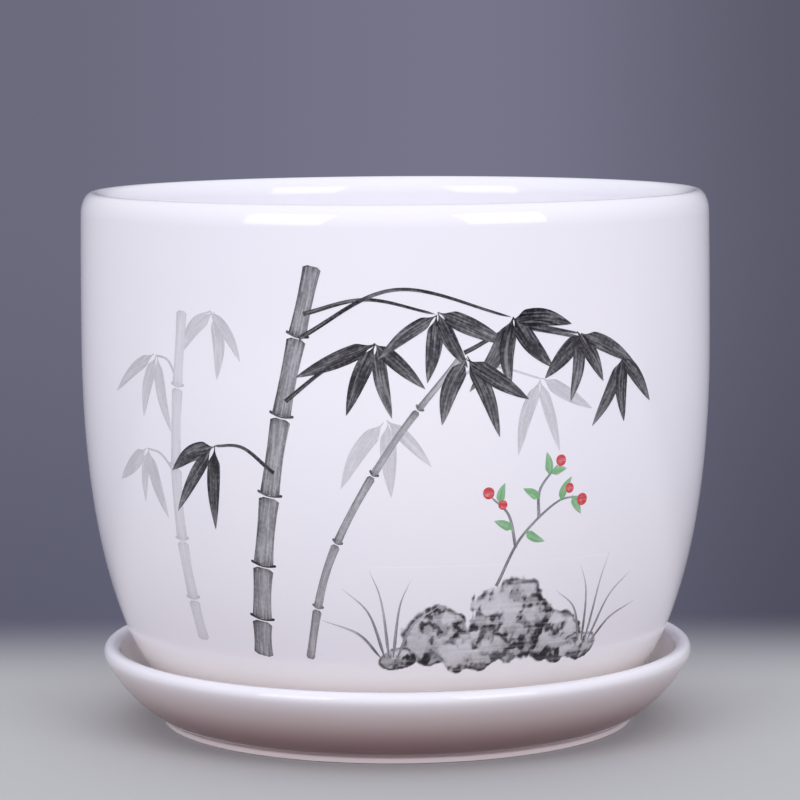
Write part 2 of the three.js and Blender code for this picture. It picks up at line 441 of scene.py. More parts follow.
def noise(tree, vector, scale, detail, roughness=0.5):
    inputs = {"Vector": vector, "Scale": scale, "Detail": detail, "Roughness": roughness}
    return new_node(tree, "ShaderNodeTexNoise", inputs).outputs["Fac"]


def object_place(tree):
    return new_node(tree, "ShaderNodeTexCoord").outputs["Object"]


def parts_of(tree, vector):
    return new_node(tree, "ShaderNodeSeparateXYZ", {"Vector": vector}).outputs


# Materials. A noise is its scale, its detail and, where that isn't 0.5, its roughness

GLAZE_COOL = (0.865, 0.853, 0.952, 1)
GLAZE_WARM = (0.873, 0.860, 0.945, 1)
# painted light: the pot's inside is painted lighter to lift the shade inside it
INSIDE_PAINTED_LIGHT = (0.950, 0.936, 0.982, 1)
# painted shade: the saucer's basin is painted darker and warmer, as the shade in it
BASIN_PAINTED_SHADE = (0.800, 0.748, 0.742, 1)
INSIDE_DEPTHS = (3, 22)  # below the lip: the outer glaze gives way to the painted light inside
BASIN_DEPTHS = (1, 4)  # below the saucer's rim: the glaze gives way to the basin's painted shade
POT_PAINTED_LIGHT = (
    # painted light: height above the table up to which each colour is full, where it ends, and its
    # colour
    # painted light, lifting the shade on the lower pot
    (24, 52, (0.895, 0.884, 0.980, 1)),
    # painted light and a warm painted reflection of the saucer, just above its rim
    (16, 27, (0.970, 0.917, 0.930, 1)),
)
SAUCER_PAINTED_SHADING = (
    # painted shade on the flank below the rim
    (11, 16.5, (0.810, 0.742, 0.770, 1)),
    # darker, warmer painted shade and painted reflection low on the flank
    (4, 12, (0.570, 0.415, 0.455, 1)),
    # painted light on the foot strip, lifting its shade
    (0.9, 2.4, (0.985, 0.885, 0.940, 1)),
)
GLAZE_ROUGHNESS = 0.025
GLAZE_IOR = 1.5
GLAZE_PATCHES = (22.0, 3.0)
PATCH_SPAN = (0.35, 0.65)
GLAZE_WAVES = (45.0, 1.0)
WAVE_STRENGTH = 0.05
WAVE_HEIGHT = 0.6
GLAZE_PEEL = (420.0, 2.0)
PEEL_STRENGTH = 0.03
PEEL_HEIGHT = 0.1
BARE_SOLE = 0.12  # up from the sole, where the clay is bare
BARE_SOLE_EDGE = 0.05
CLAY = (0.66, 0.61, 0.53, 1)
CLAY_SPECKS = (0.72, 0.68, 0.61, 1)
CLAY_GRAIN = (1500.0, 4.0, 0.7)
CLAY_GRAIN_SPAN = (0.3, 0.7)
CLAY_ROUGHNESS = 0.75
INK = (0.0098, 0.0082, 0.0130, 1)
GREEN_INK = (0.16, 0.42, 0.17, 1)
RED_INK = (0.62, 0.030, 0.045, 1)
STREAK_STRETCH = (0.16, 2.4, 1.0)  # along a stroke, across it, and from stroke to stroke
INK_STREAKS = (1.0, 3.0)
STREAK_DENSITY = (0.32, 0.60, 0.70, 1.05)  # noise from and to, and the ink's density from and to
INK_GRAIN = (1400.0, 3.0)
GRAIN_DENSITY = (0.3, 0.6, 0.86, 1.04)


def glaze_and_painted_shading(tree, place, painted_shading):
    """The white glaze in slow cool and warm patches, with painted light and shade low down."""
    slow = remapped(tree, noise(tree, place, *GLAZE_PATCHES), *PATCH_SPAN)
    colour = blend_colours(tree, slow, GLAZE_COOL, GLAZE_WARM)
    height = parts_of(tree, place)["Z"]
    for full_below, end, shading_colour in painted_shading:
        colour = blend_colours(tree, past(tree, height, full_below, end), shading_colour, colour)
    return colour


def glaze_bump(tree, place):
    """Slow waves and a fine orange-peel, which bend what the glaze mirrors."""
    waves = {
        "Strength": WAVE_STRENGTH,
        "Distance": WAVE_HEIGHT / MM,
        "Height": noise(tree, place, *GLAZE_WAVES),
    }
    peel = {
        "Strength": PEEL_STRENGTH,
        "Distance": PEEL_HEIGHT / MM,
        "Height": noise(tree, place, *GLAZE_PEEL),
        "Normal": new_node(tree, "ShaderNodeBump", waves).outputs["Normal"],
    }
    return new_node(tree, "ShaderNodeBump", peel).outputs["Normal"]


def glossy_surface(tree, place, colour, roughness):
    inputs = {"Base Color": colour, "Roughness": roughness, "IOR": GLAZE_IOR}
    inputs["Normal"] = glaze_bump(tree, place)
    shader = new_node(tree, "ShaderNodeBsdfPrincipled", inputs)
    shaded(tree, shader.outputs["BSDF"])


def glaze_material(name, sole, painted_shading, painted_inside):
    """White glaze over a foot ring whose sole, at a height above the table, is wiped bare, with
    painted light and shade.
    """
    material, tree = new_material(name)
    place = object_place(tree)
    edge = sole + BARE_SOLE
    glazed = past(tree, parts_of(tree, place)["Z"], edge, edge + BARE_SOLE_EDGE)
    grain = remapped(tree, noise(tree, place, *CLAY_GRAIN), *CLAY_GRAIN_SPAN)
    clay = blend_colours(tree, grain, CLAY, CLAY_SPECKS)
    inside = new_node(tree, "ShaderNodeAttribute", attribute_name="inside").outputs["Fac"]
    # the pot's inside takes painted light, the saucer's basin painted shade
    white = blend_colours(tree, inside, glaze_and_painted_shading(tree, place, painted_shading), painted_inside)
    colour = blend_colours(tree, glazed, clay, white)
    roughness = remapped(tree, glazed, 0.0, 1.0, CLAY_ROUGHNESS, GLAZE_ROUGHNESS)
    glossy_surface(tree, place, colour, roughness)
    return material


def ink_material(name, ink_colour):
    """Ink in the glaze: as dense as the piece's own ink says, thinned by streaks and a fine grain."""
    material, tree = new_material(name)
    place = object_place(tree)
    density = new_node(tree, "ShaderNodeAttribute", attribute_name="ink").outputs["Fac"]
    brush = new_node(tree, "ShaderNodeAttribute", attribute_name="brush").outputs["Vector"]
    drawn_out = vector_math(tree, "MULTIPLY", {0: brush, 1: STREAK_STRETCH})["Vector"]
    streaks = remapped(tree, noise(tree, drawn_out, *INK_STREAKS), *STREAK_DENSITY)
    grain = remapped(tree, noise(tree, place, *INK_GRAIN), *GRAIN_DENSITY)
    thinned = combined(tree, "MULTIPLY", combined(tree, "MULTIPLY", density, streaks), grain)
    left = combined(tree, "MAXIMUM", combined(tree, "SUBTRACT", 1.0, thinned), 0.0)
    factor = combined(tree, "SUBTRACT", 1.0, combined(tree, "MULTIPLY", left, left))
    # where the ink thins, the glaze shows through with the pot's painted light
    colour = blend_colours(tree, factor, glaze_and_painted_shading(tree, place, POT_PAINTED_LIGHT), ink_colour)
    glossy_surface(tree, place, colour, GLAZE_ROUGHNESS)
    return material


# Printed sheets

BURIED = -0.03  # the underside of every sheet lies this far inside the glaze
LOWEST_LIFT = 0.024
LIFT_STEP = 0.002  # sheets that cross lie this much above each other
THINNEST = 0.03
SPLINE_STEPS = 24
FEWEST_STEPS = 6
SHEET_SEED_STEP = 7.3  # from one sheet's streaks to the next one's
STROKE_STEP = 0.5
STROKE_COLUMNS = 6

wall_line = outer_wall()
wall_slope = np.gradient(wall_line[:, 0], wall_line[:, 1])
sheets = []  # the box of each sheet in s and z, and its level


def on_pot(places, lift):
    """Points of the pot's outside at places of its decoration, lifted square to the wall.

    A place is (s, z): s round the belly from the front, + to the right, and z above the foot.
    """
    s, z = places[..., 0], places[..., 1]
    radius = np.interp(z, wall_line[:, 1], wall_line[:, 0])
    slope = np.interp(z, wall_line[:, 1], wall_slope)
    length = np.sqrt(1 + slope**2)
    reach = radius + lift / length
    height = z - lift * slope / length + POT_BASE
    angle = s / BELLY_RADIUS
    return np.stack([reach * np.sin(angle), -reach * np.cos(angle), height], axis=-1)


def spline(points, step):
    """A smooth line through points, cut into even steps, with the length run at each."""
    given = np.asarray(points, float)
    padded = np.vstack([2 * given[0] - given[1], given, 2 * given[-1] - given[-2]])
    share = np.linspace(0, 1, SPLINE_STEPS, endpoint=False)[:, None]
    dense = []
    for a, b, c, d in zip(padded, padded[1:], padded[2:], padded[3:]):
        bend = (2 * a - 5 * b + 4 * c - d) * share**2 + (3 * b - a - 3 * c + d) * share**3
        dense.append((2 * b + (c - a) * share + bend) / 2)
    dense = np.vstack([*dense, given[-1:]])
    run = np.concatenate([[0], np.cumsum(np.hypot(*np.diff(dense, axis=0).T))])
    along = np.linspace(0, run[-1], max(int(run[-1] / step), FEWEST_STEPS) + 1)
    line = np.column_stack([np.interp(along, run, dense[:, axis]) for axis in (0, 1)])
    return line, along


def sheet_faces(rows, columns):
    """Faces of a thin closed sheet: top grid, bottom grid and the walls that join them."""
    index = np.arange(rows * columns).reshape(rows, columns)
    a, b, c, d = index[:-1, :-1], index[:-1, 1:], index[1:, 1:], index[1:, :-1]
    top = np.stack([a, b, c, d], axis=-1).reshape(-1, 4)
    under = top[:, ::-1] + rows * columns
    rim = np.concatenate([index[0, :], index[1:, -1], index[-1, -2::-1], index[-2:0:-1, 0]])
    after = np.roll(rim, -1)
    walls = np.column_stack([rim, rim + rows * columns, after + rows * columns, after])
    return np.vstack([top, under, walls])


def next_level(places):
    """The level above every sheet so far whose box meets the box of these places."""
    low, high = places.min(axis=(0, 1)), places.max(axis=(0, 1))
    met = [level for a, b, level in sheets if (a < high).all() and (low < b).all()]
    level = max(met, default=-1) + 1
    sheets.append((low, high, level))
    return level


class Print:
    """One printed piece: it gathers sheets of painted glaze and makes one mesh of them."""

    def __init__(self, name):
        self.name = name
        self.vertices, self.faces, self.ink, self.brush = [], [], [], []
        self.total = 0

    def add_sheet(self, places, ink, along, across):
        """A sheet over a grid of places. Along and across say where its streaks run."""
        lift = LOWEST_LIFT + LIFT_STEP * next_level(places)
        rows, columns = ink.shape
        both = np.concatenate([on_pot(places, lift), on_pot(places, BURIED)]).reshape(-1, 3)
        seed = np.full(rows * columns, SHEET_SEED_STEP * len(self.faces))
        brush = np.column_stack([along.ravel(), across.ravel(), seed])
        self.vertices.append(both)
        self.faces.append(sheet_faces(rows, columns) + self.total)
        self.ink.append(np.tile(ink.ravel(), 2))
        self.brush.append(np.tile(brush, (2, 1)))
        self.total += len(both)

    def add_stroke(self, points, half_width_at, ink_at, step=STROKE_STEP, columns=STROKE_COLUMNS):
        """A brush stroke along points. Both functions take shares of its length and breadth."""
        line, along = spline(points, step)
        share = along / along[-1]
        tangent = np.gradient(line, axis=0)
        tangent /= np.hypot(tangent[:, 0], tangent[:, 1])[:, None]
        side = np.column_stack([tangent[:, 1], -tangent[:, 0]])
        breadth = np.linspace(-1, 1, columns + 1)
        half = np.maximum(half_width_at(share), THINNEST)
        across = half[:, None] * breadth
        places = line[:, None, :] + side[:, None, :] * across[..., None]
        ink = np.clip(ink_at(share[:, None], breadth[None, :]) * np.ones_like(across), 0, 1)
        self.add_sheet(places, ink, np.repeat(along[:, None], columns + 1, axis=1), across)

    def piece(self, material, slot):
        mesh = bpy.data.meshes.new(self.name)
        mesh.from_pydata(
            metres(np.vstack(self.vertices)).tolist(), [], np.vstack(self.faces).tolist()
        )
        mesh.polygons.foreach_set("use_smooth", [True] * len(mesh.polygons))
        ink = mesh.attributes.new("ink", "FLOAT", "POINT")
        ink.data.foreach_set("value", np.concatenate(self.ink))
        brush = mesh.attributes.new("brush", "FLOAT_VECTOR", "POINT")
        brush.data.foreach_set("vector", np.vstack(self.brush).ravel())
        mesh.set_sharp_from_angle(angle=PRINT_SHARP_EDGE)
        mesh.update()
        piece = added(self.name, mesh, material)
        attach(piece, "pot")


# Leaves, twigs and stalks

LEAF_SWELL = 0.55  # the power by which a leaf broadens from its stem
LEAF_TAPER = 0.9  # and by which it narrows to its tip
LEAF_BREADTH = 2.62  # makes the broadest part as wide as the width says
LEAF_OPENS = (0.02, 0.22)  # shares of its length
LEAF_STEM = 0.10
LEAF_TIP_FADE = 0.22
LEAF_MIDDLE_FADE = 0.10
LEAF_PLACE_SPREAD = (0.7, 0.5)  # a cluster's leaves differ by up to this, either way
LEAF_HEADING_SPREAD = 6
LEAF_BEND_SPREAD = 1.1
LEAF_LENGTH_SHARES = (0.78, 1.15)
LEAF_WIDTH_SHARES = (0.82, 1.18)
LEAF_INK_SHARES = (0.86, 1.06)
TWIG_TIP = (1.02, 0.94)
TWIG_TIP_FADE = 0.15
TWIG_COLUMNS = 4
JOINT_GAP = 0.3  # the stalk is broken this far to either side of a joint
LENGTH_POINTS = 9
STALK_WAIST = 0.87  # narrowest width of a length, as a share of its widest
STALK_END = 0.55  # and the width that its very ends are rounded to
STALK_END_ROUND = 0.03
STALK_CORE_INK = 0.62
STALK_JOINT_INK = 0.30
STALK_LIT_SIDE = 0.22
STALK_COLUMNS = 12
JOINT_AHEAD = 0.5  # from the end of a length to its joint's mark
JOINT_LINE = ((-0.60, 0.55), (-0.2, -0.05), (0.2, -0.05), (0.60, 0.55))  # across in widths, ahead
JOINT_HALF_WIDTH = 0.16
JOINT_END_SWELL = 0.22
JOINT_DARKER = 1.25
JOINT_STEP = 0.25
JOINT_COLUMNS = 3


def leaf_half_width(width):
    """A bamboo leaf: a thin stem, its broadest part nearer the stem, and a long tip."""

    def half(share):
        blade = LEAF_BREADTH * share**LEAF_SWELL * np.clip(1 - share, 0, 1) ** LEAF_TAPER
        return width / 2 * blade * eased(share, *LEAF_OPENS) + LEAF_STEM * (1 - share)

    return half


def leaf_ink(ink):
    """Ink that thins towards the tip, and along the middle of the leaf."""

    def at(share, breadth):
        return ink * (1 - LEAF_TIP_FADE * share) * (1 - LEAF_MIDDLE_FADE * (1 - breadth**2))

    return at


def add_leaf(target, start, heading, length, width, bend, ink):
    """A leaf from its stem, at a heading in degrees from + s towards + z."""
    angle = math.radians(heading)
    way = np.array([math.cos(angle), math.sin(angle)])
    side = np.array([-way[1], way[0]])
    start = np.asarray(start, float)
    middle = start + way * length * 0.5 + side * bend
    points = [start, middle, start + way * length]
    target.add_stroke(points, leaf_half_width(width), leaf_ink(ink))


def add_cluster(target, at, headings, length, width, ink, chance):
    """Leaves that hang from one twig's end, each a little unlike the others."""
    spread_s, spread_z = LEAF_PLACE_SPREAD
    for heading in headings:
        add_leaf(
            target,
            (at[0] + chance.uniform(-spread_s, spread_s), at[1] + chance.uniform(-spread_z, spread_z)),
            heading + chance.uniform(-LEAF_HEADING_SPREAD, LEAF_HEADING_SPREAD),
            length * chance.uniform(*LEAF_LENGTH_SHARES),
            width * chance.uniform(*LEAF_WIDTH_SHARES),
            chance.uniform(-LEAF_BEND_SPREAD, LEAF_BEND_SPREAD),
            ink * chance.uniform(*LEAF_INK_SHARES),
        )


def add_twig(target, points, base_width, tip_width, ink):
    """A twig that narrows from its base and ends in a short round tip."""
    target.add_stroke(
        points,
        lambda share: (base_width + (tip_width - base_width) * share) / 2 * eased(share, *TWIG_TIP),
        lambda share, breadth: ink * (1 - TWIG_TIP_FADE * share),
        columns=TWIG_COLUMNS,
    )


def stalk_half_width(width):
    """A length of stalk: waisted, with its two ends rounded off."""

    def half(share):
        waisted = STALK_WAIST + (1 - STALK_WAIST) * (2 * share - 1) ** 2
        rounded = eased(np.minimum(share, 1 - share), 0, STALK_END_ROUND)
        return width / 2 * waisted * (STALK_END + (1 - STALK_END) * rounded)

    return half


def stalk_ink(ink):
    """Ink that gathers along both sides and at the ends, and is thinner on the right."""

    def at(share, breadth):
        sides = STALK_CORE_INK + (1 - STALK_CORE_INK) * np.abs(breadth) ** 2.5
        ends = STALK_JOINT_INK * np.abs(2 * share - 1) ** 8
        return ink * (sides + ends) * (1 - STALK_LIT_SIDE * np.clip(breadth, 0, 1))

    return at


def add_stalk(target, marks, path, widths, joints, ink):
    """A bamboo stalk: waisted lengths between joints, with a dark mark at each joint."""
    line, along = spline(path, STROKE_STEP)
    for low, high in zip(joints, joints[1:]):
        low_end, high_end = low * along[-1] + JOINT_GAP, high * along[-1] - JOINT_GAP
        at = np.linspace(low_end, high_end, LENGTH_POINTS)
        points = np.column_stack([np.interp(at, along, line[:, axis]) for axis in (0, 1)])
        width = widths[0] + (widths[1] - widths[0]) * (low + high) / 2
        target.add_stroke(points, stalk_half_width(width), stalk_ink(ink), columns=STALK_COLUMNS)
        if high < 1:
            add_joint(marks, points[-1], points[-1] - points[-2], width, ink)


def add_joint(marks, at, way, width, ink):
    """The dark mark across a stalk at a joint, whose ends curl up past the stalk's sides."""
    way = way / np.hypot(*way)
    side = np.array([way[1], -way[0]])
    middle = at + way * JOINT_AHEAD
    points = [middle + side * width * across + way * ahead for across, ahead in JOINT_LINE]

    def half(share):
        rounded = eased(0.5 - np.abs(share - 0.5), 0, 0.06)
        return JOINT_HALF_WIDTH + JOINT_END_SWELL * np.abs(2 * share - 1) ** 3 * rounded

    marks.add_stroke(
        points,
        half,
        lambda share, breadth: min(ink * JOINT_DARKER, 1) * (0.85 + 0.15 * np.abs(2 * share - 1)),
        step=JOINT_STEP,
        columns=JOINT_COLUMNS,
    )


# Stones

STONES = (
    # middle s and z, half width, half height, tilt in degrees
    (9, 20.5, 7.5, 6.4, 14),
    (38, 19.0, 8.0, 5.4, -10),
    (26, 23.0, 10.0, 9.2, -12),
    (18, 17.0, 8.5, 4.4, 6),
    (46, 16.0, 5.0, 3.0, 0),
    (0, 15.6, 4.6, 2.4, 8),
)
STONE_ROUNDNESS = 2.4  # 2 is an ellipse, and more is squarer
STONE_RAGGEDNESS = 0.34
OUTLINE_AT = 0.93  # share of the way from a stone's middle to its edge
OUTLINE_WIDTH = 0.075
OUTLINE_INK = 0.55
DARKEST_STONE = 0.95
STONE_FIELD = (-7.0, 54.0, 10.5, 35.5)  # lowest and highest s, lowest and highest z
STONE_FIELD_EDGE = (0.3, 1.5)
STONE_STEP = 0.28
STONE_STREAKS = 0.4  # how fast the streaks run over the stones
LATTICE = 80  # random values each way, before they repeat
LATTICE_SHIFT = 400  # keeps every cell's number above 0
OCTAVE_WEIGHTS = (0.56, 0.29, 0.15)
OCTAVE_TURN = 1.1
PATCH_CONTRAST = 1.5


def patches(s, z, cell, seed):
    """Smooth random patches between 0 and 1, about a cell across, with finer ones in them."""
    total = np.zeros_like(s)
    for octave, weight in enumerate(OCTAVE_WEIGHTS):
        lattice = np.random.default_rng(seed * 10 + octave).random((LATTICE, LATTICE))
        size = cell / 2**octave
        turn = seed + OCTAVE_TURN * octave
        column = (s * math.cos(turn) - z * math.sin(turn)) / size + LATTICE_SHIFT
        row = (s * math.sin(turn) + z * math.cos(turn)) / size + LATTICE_SHIFT
        i = np.floor(column).astype(int) % (LATTICE - 1)
        j = np.floor(row).astype(int) % (LATTICE - 1)
        u, v = eased(column % 1, 0, 1), eased(row % 1, 0, 1)
        low = lattice[i, j] * (1 - u) + lattice[i + 1, j] * u
        high = lattice[i, j + 1] * (1 - u) + lattice[i + 1, j + 1] * u
        total += weight * (low * (1 - v) + high * v)
    return np.clip(0.5 + (total - 0.5) * PATCH_CONTRAST, 0, 1)


def stone_ink(s, z):
    """Boulders in broken outline, washed dark underneath and blotched all over."""
    ink = np.zeros_like(s)
    ragged = patches(s, z, 3.4, 11)
    for number, (middle_s, middle_z, half_s, half_z, tilt) in enumerate(STONES):
        angle = math.radians(tilt)
        x = (s - middle_s) * math.cos(angle) + (z - middle_z) * math.sin(angle)
        y = (z - middle_z) * math.cos(angle) - (s - middle_s) * math.sin(angle)
        power = STONE_ROUNDNESS
        far = (np.abs(x / half_s) ** power + np.abs(y / half_z) ** power) ** (1 / power)
        far = far + (ragged - 0.5) * STONE_RAGGEDNESS
        body = eased(far, 1.03, 0.96)
        broken = patches(s, z, 4.6, 20 + number)
        outline = np.exp(-(((far - OUTLINE_AT) / OUTLINE_WIDTH) ** 2)) * eased(broken, 0.25, 0.60)
        shade = eased(-y / half_z + 0.5 * x / half_s, -0.25, 0.9)
        blotch = eased(patches(s, z, 2.6, 40 + number), 0.44, 0.70)
        speck = eased(patches(s, z, 1.3, 60 + number), 0.48, 0.70)
        wash = 0.10 + 0.12 * patches(s, z, 6.0, 80 + number) + 0.22 * shade
        dark = blotch * (0.18 + 0.45 * shade) + 0.45 * blotch * speck + 0.30 * shade * speck
        brushed = np.clip(wash + dark + OUTLINE_INK * outline, 0, DARKEST_STONE)
        ink = ink * (1 - body) + brushed * body
    return ink


def make_stones(ink):
    """One sheet with all the stones, whose ink fades out before the sheet's own edge."""
    low_s, high_s, low_z, high_z = STONE_FIELD
    s_values = np.arange(low_s, high_s + STONE_STEP, STONE_STEP)
    z_values = np.arange(low_z, high_z + STONE_STEP, STONE_STEP)
    z, s = np.meshgrid(z_values, s_values, indexing="ij")
    edge = np.minimum(np.minimum(s - low_s, high_s - s), np.minimum(z - low_z, high_z - z))
    density = stone_ink(s, z) * eased(edge, *STONE_FIELD_EDGE)
    stones = Print("print_stones")
    stones.add_sheet(np.stack([s, z], axis=-1), density, s * STONE_STREAKS, z * STONE_STREAKS)
    stones.piece(ink, "ink_print")


# Layout of the decoration

STALKS = (
    # path from the root up, width at the root and top, where the joints are, and ink
    (((-50, 17), (-51, 50), (-48, 88)), (3.6, 2.8), (0, 0.13, 0.31, 0.53, 0.77, 1), 0.19),
    (
        ((-33, 15), (-29, 40), (-24, 67), (-17, 98)), (5.2, 3.8),
        (0, 0.10, 0.24, 0.42, 0.62, 0.82, 1), 0.72,
    ),
    (((-21, 15), (-14, 38), (-1, 61), (14, 80)), (2.2, 1.3), (0, 0.16, 0.36, 0.58, 0.80, 1), 0.60),
)
DARK_CLUSTERS = (
    # twig end, leaf headings
    ((-4, 82), (-158, -118, -84, -38)),
    ((8, 88), (-142, -100, -62, -20)),
    ((24, 87), (-128, -88, -50, -12)),
    ((14, 79), (-110, -70, -32)),
    ((40, 83), (-132, -96, -58, -22)),
    ((52, 77), (-120, -86, -48)),
    ((-40, 60), (-160, -128, -92)),
)
GREY_CLUSTERS = (
    ((-56, 78), (-150, -112, -74)),
    ((-40, 88), (-136, -94, -56)),
    ((31, 74), (-104, -66, -30)),
    ((-2, 66), (-120, -82, -44)),
    ((-60, 58), (-140, -100, -68)),
)
DARK_TWIGS = (
    ((-23, 70), (-14, 77), (-4, 82)),
    ((-19, 88), (-6, 91), (8, 88)),
    ((-20, 83), (0, 93), (24, 87)),
    ((14, 80), (26, 85), (40, 83)),
    ((26, 85), (40, 82), (52, 77)),
    ((-26, 55), (-33, 60), (-40, 60)),
)
GREY_TWIGS = (
    ((-49, 72), (-52, 77), (-56, 78)),
    ((-49, 80), (-45, 86), (-40, 88)),
    ((8, 73), (19, 77), (31, 74)),
    ((-50, 52), (-55, 57), (-60, 58)),
)
BERRY_TWIGS = (
    ((22, 31), (27, 41), (35, 48), (41, 49)),
    ((26, 39), (24, 46), (20, 50)),
    ((31, 45), (31, 51), (35, 56)),
)
BERRIES = (
    # middle s and z, radius
    (41.6, 48.2, 1.3), (38.2, 50.8, 1.05), (19.4, 50.8, 1.25), (35.8, 56.8, 1.2), (22.6, 48.2, 1.0),
)
GREEN_LEAVES = (
    # stem s and z, heading, length
    (36, 48.3, 62, 5.6), (39, 49.2, -58, 4.8), (28, 42.5, -28, 5.4), (25, 43, 155, 4.6),
    (22, 48.5, 78, 4.4), (31, 49, 148, 4.6), (33, 54, 98, 4.8), (33.5, 54.3, 12, 3.8),
)
GRASS = (
    # root s and z, then where the tip ends
    (-3, 16, -12, 31), (-2, 16, -6, 35), (-1, 16, 3, 33), (0, 16, 9, 27), (-4, 16, -17, 24),
    (47, 17, 43, 34), (48, 17, 51, 36), (49, 17, 59, 31), (50, 16.5, 63, 24), (46, 17, 37, 29),
)
DARK_TWIG = (0.95, 0.5, 0.88)  # width at the base and tip, and ink
GREY_TWIG = (0.7, 0.4, 0.24)
BERRY_TWIG = (0.75, 0.4, 0.55)
DARK_LEAF = (16, 3.1, 1.0)  # length, width and ink
GREY_LEAF = (15, 2.8, 0.24)
GREEN_LEAF_WIDTH = 1.7
GREEN_LEAF_BEND = 0.4
GREEN_LEAF_INK = 0.92
GRASS_HALF_WIDTH = 0.42
GRASS_INK = 0.62
GRASS_TIP_FADE = 0.40
BERRY_INK = 0.80
BERRY_EDGE_INK = 0.20
BERRY_SPOT = 0.25
BERRY_STEPS = 10  # rows in a berry's radius
BERRY_COLUMNS = 10
CHANCE_SEED = 14


def add_grass_blade(target, root_s, root_z, tip_s, tip_z):
    """A blade that rises steeply from its root and bends over towards its tip."""
    middle = (root_s * 0.62 + tip_s * 0.38, root_z * 0.35 + tip_z * 0.65)
    target.add_stroke(
        [(root_s, root_z), middle, (tip_s, tip_z)],
        lambda share: GRASS_HALF_WIDTH * (1 - share) ** 0.7 * eased(share, -0.1, 0.2),
        lambda share, breadth: GRASS_INK - GRASS_TIP_FADE * share,
        columns=TWIG_COLUMNS,
    )


def add_berry(target, s, z, radius):
    """A round berry with a lighter spot left of its middle."""

    def ink(share, breadth):
        spot = np.exp(-(((share - 0.38) / 0.12) ** 2 + ((breadth - 0.35) / 0.3) ** 2))
        return BERRY_INK + BERRY_EDGE_INK * breadth**2 - BERRY_SPOT * spot

    target.add_stroke(
        [(s - radius, z), (s - radius * 0.2, z + 0.05), (s + radius, z)],
        lambda share: radius * np.sqrt(np.clip(1 - (2 * share - 1) ** 2, 0, 1)),
        ink,
        step=radius / BERRY_STEPS,
        columns=BERRY_COLUMNS,
    )


def make_leaves(name, twigs, twig, clusters, leaf, ink, chance):
    leaves = Print(name)
    for points in twigs:
        add_twig(leaves, points, *twig)
    for at, headings in clusters:
        add_cluster(leaves, at, headings, *leaf, chance)
    leaves.piece(ink, "ink_print")


def make_stalks(ink):
    """The stalks' own piece, and the marks at their joints for a piece that comes later."""
    stalks = Print("print_stalks")
    marks = Print("print_joints")
    for stalk in STALKS:
        add_stalk(stalks, marks, *stalk)
    stalks.piece(ink, "ink_print")
    return marks


def make_grass(ink):
    grass = Print("print_grass")
    for blade in GRASS:
        add_grass_blade(grass, *blade)
    for points in BERRY_TWIGS:
        add_twig(grass, points, *BERRY_TWIG)
    grass.piece(ink, "ink_print")


def make_green_leaves(chance):
    green = Print("print_leaves_green")
    for s, z, heading, length in GREEN_LEAVES:
        bend = chance.uniform(-GREEN_LEAF_BEND, GREEN_LEAF_BEND)
        add_leaf(green, (s, z), heading, length, GREEN_LEAF_WIDTH, bend, GREEN_LEAF_INK)
    green.piece(ink_material("green_print", GREEN_INK), "green_print")


def make_berries():
    berries = Print("print_berries")
    for berry in BERRIES:
        add_berry(berries, *berry)
    berries.piece(ink_material("red_print", RED_INK), "red_print")


def make_decoration():
    """Bamboo, stones, grass and a berry twig, from the backmost sheets to the front."""
    chance = random.Random(CHANCE_SEED)
    black = ink_material("ink_print", INK)
    make_leaves("print_leaves_grey", GREY_TWIGS, GREY_TWIG, GREY_CLUSTERS, GREY_LEAF, black, chance)
    marks = make_stalks(black)
    make_leaves("print_leaves_dark", DARK_TWIGS, DARK_TWIG, DARK_CLUSTERS, DARK_LEAF, black, chance)
    marks.piece(black, "ink_print")
    make_stones(black)
    make_grass(black)
    make_green_leaves(chance)
    make_berries()


# Camera and lamps

SOFTBOX_AZIMUTH = 40  # degrees to either side of the front
SOFTBOX_ELEVATION = 25
SOFTBOX_DISTANCE = 1200
SOFTBOX_WIDTH = 620
SOFTBOX_HEIGHT = 660
SOFTBOX_AIM = 0.8  # share of the pot's height that they face
LEFT_RADIANCE = 2.82
RIGHT_RADIANCE = 2.92


def make_camera():
    data = bpy.data.cameras.new("camera")
    data.sensor_width = SENSOR_WIDTH
    data.lens = FOCAL_PIXELS * SENSOR_WIDTH / PICTURE_PIXELS
    data.clip_start = CAMERA_CLIP[0] / MM
    data.clip_end = CAMERA_CLIP[1] / MM
    data.shift_x = -AXIS_OFFSET_PIXELS / PICTURE_PIXELS
    camera = bpy.data.objects.new("camera", data)
    bpy.context.scene.collection.objects.link(camera)
    tilt = Matrix.Rotation(math.radians(90) - CAMERA_PITCH_DOWN, 4, "X")
    roll = Matrix.Rotation(-CAMERA_ROLL, 4, "Z")
    camera.matrix_world = (
        Matrix.Translation((0, -CAMERA_DISTANCE / MM, CAMERA_HEIGHT / MM)) @ tilt @ roll
    )
    bpy.context.scene.camera = camera


def softbox(name, azimuth, radiance):
    """A rectangular lamp that faces the pot. Azimuth 0 is in front, and + is to the right."""
    width, height = SOFTBOX_WIDTH / MM, SOFTBOX_HEIGHT / MM
    data = bpy.data.lights.new(name, "AREA")
    data.shape = "RECTANGLE"
    data.size = width
    data.size_y = height
    data.energy = radiance * math.pi * width * height
    lamp = bpy.data.objects.new(name, data)
    lamp.visible_camera = False
    bpy.context.scene.collection.objects.link(lamp)
    a, e = math.radians(azimuth), math.radians(SOFTBOX_ELEVATION)
    away = Vector((math.sin(a) * math.cos(e), -math.cos(a) * math.cos(e), math.sin(e)))
    target = Vector((0, 0, POT_BASE / MM + POT_HEIGHT / MM * SOFTBOX_AIM))
    lamp.location = target + away * (SOFTBOX_DISTANCE / MM)
    lamp.rotation_mode = "QUATERNION"
    lamp.rotation_quaternion = away.to_track_quat("Z", "Y")


# World and floor. A direction's depth is its Y and its height its Z, at a length of 1

